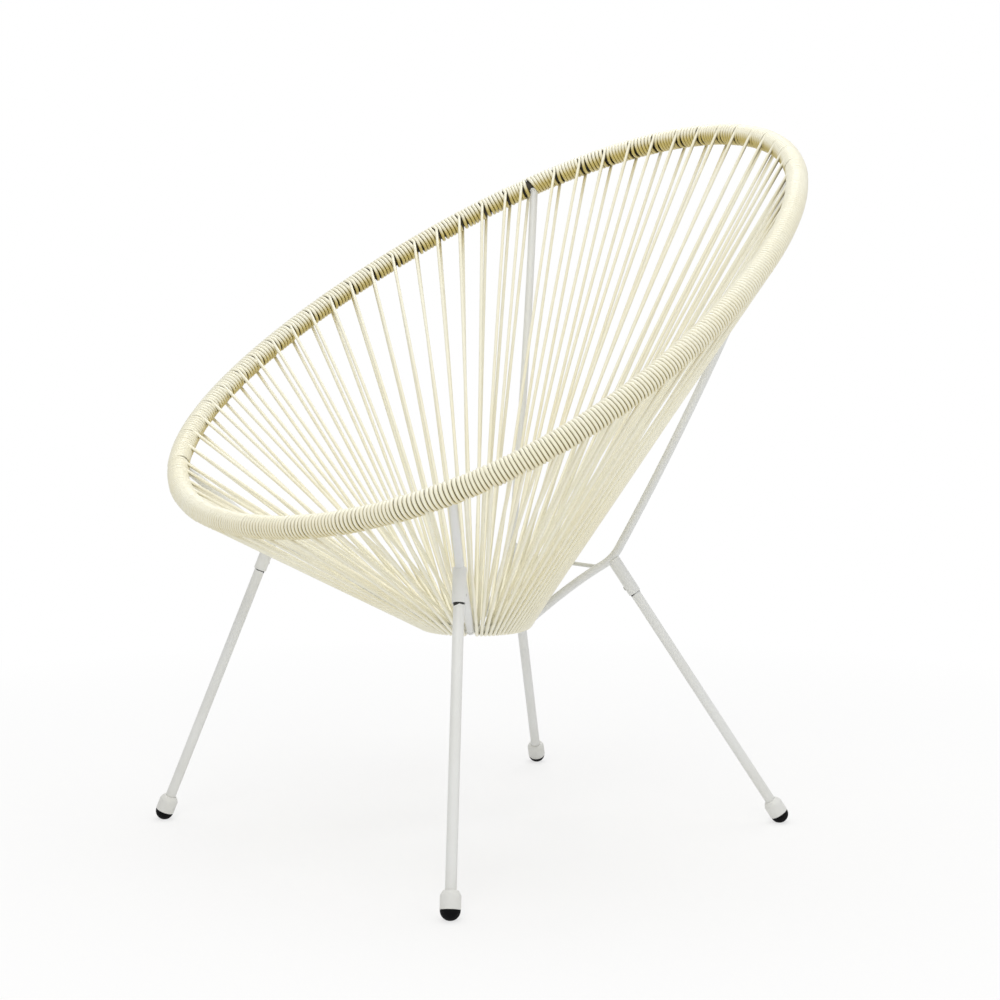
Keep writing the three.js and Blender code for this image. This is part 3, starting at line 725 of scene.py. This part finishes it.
def turned(name, profile, start, axis, finish, floorFlat=False, lip=None):
    # profile: (radius, height) in mm round the closed section, from the axis to the axis or closed on itself
    sides = lathe["sides"]
    axis = unit(axis)
    side = unit(np.cross(axis, [0.2, 0.9, 0.1]))
    other = np.cross(axis, side)
    vertices, faces, rings = [], [], []
    for radius, height in profile:
        first = len(vertices)
        if radius == 0:
            rings.append([first])
            vertices.append(start + axis * height)
            continue
        rings.append(list(range(first, first + sides)))
        for i in range(sides):
            turn = twoPi * i / sides
            vertices.append(start + axis * height + (side * math.cos(turn) + other * math.sin(turn)) * radius)
    pairs = list(zip(rings, rings[1:]))
    if profile[0][0] > 0:  # the section doesn't reach the axis, so it closes on itself
        pairs.append((rings[-1], rings[0]))
    for low, high in pairs:
        for i in range(sides):
            k = (i + 1) % sides
            corners = [low[i % len(low)], low[k % len(low)], high[k % len(high)], high[i % len(high)]]
            corners = list(dict.fromkeys(corners))
            if len(corners) > 2:
                faces.append(corners)
    vertices = np.array(vertices)
    if floorFlat:
        vertices[:, 2] = np.maximum(vertices[:, 2], 0)
    mesh = bpy.data.meshes.new(name)
    mesh.from_pydata((vertices * mm).tolist(), [], faces)
    if lip is not None:  # how far each point lies below the socket's end
        below = (lip - (vertices - start) @ axis) * mm
        mesh.attributes.new("belowSocket", "FLOAT", "POINT").data.foreach_set("value", below.astype(np.float32))
    mesh.materials.append(finishes[finish])
    mesh.shade_smooth()
    mesh.set_sharp_from_angle(angle=math.radians(lathe["sharpAngle"]))
    return bpy.data.objects.new(name, mesh)


def rounded(corners, fillet):  # cuts each corner marked with a softness by a small arc of that many fillets
    line = []
    for i, (radius, height, soft) in enumerate(corners):
        if not soft:
            line.append((radius, height))
            continue
        here = np.array([radius, height], float)
        before = np.array(corners[i - 1][:2], float)
        after = np.array(corners[(i + 1) % len(corners)][:2], float)
        a, b = here + unit(before - here) * fillet * soft, here + unit(after - here) * fillet * soft
        for t in np.linspace(0, 1, lathe["filletSteps"] + 1):
            x, y = bezier(a, here, b, t)
            line.append((float(x), float(y)))
    return line


socketSize = {"radius": 7.5, "bore": 6.3, "depth": 26, "fillet": 0.55, "topSoft": 1.6}
legSize = {"radius": 6, "wall": 1.5, "topGap": 0.3, "tailHeight": 8.6, "fillet": 0.5}
cupSize = {
    "radius": 11, "height": 15, "flare": 5, "neck": 8, "lift": 0.3, "fillet": 0.5, "edgeSoft": 2.4, "neckSoft": 1.4,
    "glideBore": 6.3, "glideDepth": 5.3, "legBore": 6.1, "legSeat": 8.3, "boreSoft": 0.4,
}
glideSize = {"radius": 10.7, "flat": 0.6, "rings": 14, "plugRadius": 6, "plugHeight": 5}


def socketProfile(low, length):
    size = socketSize
    bore, outer, boreEnd = size["bore"], size["radius"], low + size["depth"]
    return rounded([
        (0, boreEnd, 0), (bore, boreEnd, 0), (bore, low, 1), (outer, low, 1),
        (outer, length, size["topSoft"]), (0, length, 0),
    ], size["fillet"])


def legProfile(low):
    size = legSize
    inner, outer = size["radius"] - size["wall"], size["radius"]
    tail, top = size["tailHeight"], low + socketSize["depth"] - size["topGap"]
    return rounded([(inner, tail, 0), (outer, tail, 1), (outer, top, 1), (inner, top, 0)], size["fillet"])


def cupProfile():
    size = cupSize
    outer, top = size["radius"], size["height"] + size["flare"]
    return rounded([
        (0, size["glideDepth"], 0), (size["glideBore"], size["glideDepth"], 0), (size["glideBore"], size["lift"], 0),
        (outer, size["lift"], 1), (outer, size["height"], size["edgeSoft"]), (size["neck"], top, size["neckSoft"]),
        (size["legBore"], top, size["boreSoft"]), (size["legBore"], size["legSeat"], 0), (0, size["legSeat"], 0),
    ], size["fillet"])


def glideProfile():
    size = glideSize
    dome = [(0, -size["radius"])]
    for i in range(1, size["rings"] + 1):
        turn = math.radians(90 * i / size["rings"])
        dome.append((size["radius"] * math.sin(turn), -size["radius"] * math.cos(turn)))
    return dome + [(size["plugRadius"], 0), (size["plugRadius"], size["plugHeight"]), (0, size["plugHeight"])]


for stay in stays:
    tail = stay["name"]
    x, y = stay["size"]["foot"]
    foot = np.array([stay["side"] * x, y, glideSize["radius"] - glideSize["flat"]])
    axis = unit(stay["bend"] - foot)
    length = float(np.linalg.norm(stay["bend"] - foot))
    low = length - stay["size"]["socketLength"]
    socket = turned("socket_sleeve_" + tail, socketProfile(low, length), foot, axis, "paint")
    keepPiece(socket, "socket_" + tail)
    leg = turned("leg_tube_" + tail, legProfile(low), foot, axis, "leg", lip=low)
    keepPiece(leg, "leg_" + tail)
    cup = turned("cup_" + tail, cupProfile(), foot, axis, "paint")
    keepPiece(cup, "foot_cup_" + tail)
    glide = turned("glide_dome_" + tail, glideProfile(), foot, axis, "rubber", floorFlat=True)
    keepPiece(glide, "glide_" + tail)
    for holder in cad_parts["set_screw_" + tail].material_slots:
        holder.link = "OBJECT"
        holder.material = finishes["steel"]
print("legs and feet turned")


# ---- floor, backdrop, lamps and camera
white = (1, 1, 1, 1)
studio = {
    "floorColour": (0.94, 0.94, 0.94, 1), "floorRoughness": 0.9, "floorReach": 6.0,
    "nearWhite": 0.62, "fadeFrom": 0.3, "fadeOver": 1.1,  # the floor's own shade gives way to white further out
    "worldLevel": 0.54, "lampTarget": (0, 0, 0.4),
}
lamps = [
    {"name": "keyLamp", "place": (1.7, -1.9, 2.6), "size": 1.6, "power": 26, "tint": (1, 0.985, 0.95)},
    {"name": "fillLamp", "place": (2.8, 0.2, 1.5), "size": 1.8, "power": 8, "tint": (1, 1, 1)},
    {"name": "topLamp", "place": (-0.5, 0.6, 3.0), "size": 2.2, "power": 32, "tint": (1, 1, 1)},
]
shot = {"place": (1.8717, -1.5904, 0.6214), "target": (0, 0.0076, 0.3885), "lens": 75.05, "sensorWidth": 36}


def studioFloor():
    material, g, shader = newMaterial("studioFloor")
    distance = vectorMath(g, "LENGTH", vectorMath(g, "MULTIPLY", objectPlace(g), (1.0, 1.0, 0.0)))
    fade = ((distance - studio["fadeFrom"]) / studio["fadeOver"]).clamp()
    far = fade * (1 - studio["nearWhite"]) + studio["nearWhite"]
    glow = g.add("ShaderNodeEmission", {}, {"Color": white, "Strength": 1.0})
    g.set(shader, "Base Color", studio["floorColour"])
    g.set(shader, "Roughness", studio["floorRoughness"])
    g.set(shader, "Specular IOR Level", 0.0)
    both = g.add("ShaderNodeMixShader", {}, {0: far * shownRays(g), 1: Wire(g, shader.outputs[0]), 2: glow})
    leave = next(n for n in g.tree.nodes if n.type == "OUTPUT_MATERIAL")
    g.set(leave, "Surface", both)
    return material


floorMesh = bpy.data.meshes.new("floor")
reach = studio["floorReach"]
floorMesh.from_pydata([(-reach, -reach, 0), (reach, -reach, 0), (reach, reach, 0), (-reach, reach, 0)], [], [range(4)])
floorMesh.materials.append(studioFloor())
floor = bpy.data.objects.new("floor", floorMesh)
bpy.context.scene.collection.objects.link(floor)

world = bpy.data.worlds.new("studioWorld")
bpy.context.scene.world = world
world.use_nodes = True
sky = Graph(world.node_tree)
background = next(n for n in sky.tree.nodes if n.type == "BACKGROUND")
sky.set(background, "Color", white)
sky.set(background, "Strength", shownRays(sky) * (1 - studio["worldLevel"]) + studio["worldLevel"])


def setUp(name, data, place, target):
    obj = bpy.data.objects.new(name, data)
    obj.location = place
    obj.rotation_euler = (Vector(target) - Vector(place)).to_track_quat("-Z", "Y").to_euler()
    bpy.context.scene.collection.objects.link(obj)
    return obj


for lamp in lamps:
    data = bpy.data.lights.new(lamp["name"], "AREA")
    data.shape, data.size, data.energy, data.color = "DISK", lamp["size"], lamp["power"], lamp["tint"]
    setUp(lamp["name"], data, lamp["place"], studio["lampTarget"])

cameraData = bpy.data.cameras.new("camera")
cameraData.lens, cameraData.sensor_width = shot["lens"], shot["sensorWidth"]
bpy.context.scene.camera = setUp("camera", cameraData, shot["place"], shot["target"])
bpy.context.scene.view_settings.view_transform = "Standard"
print("studio set")
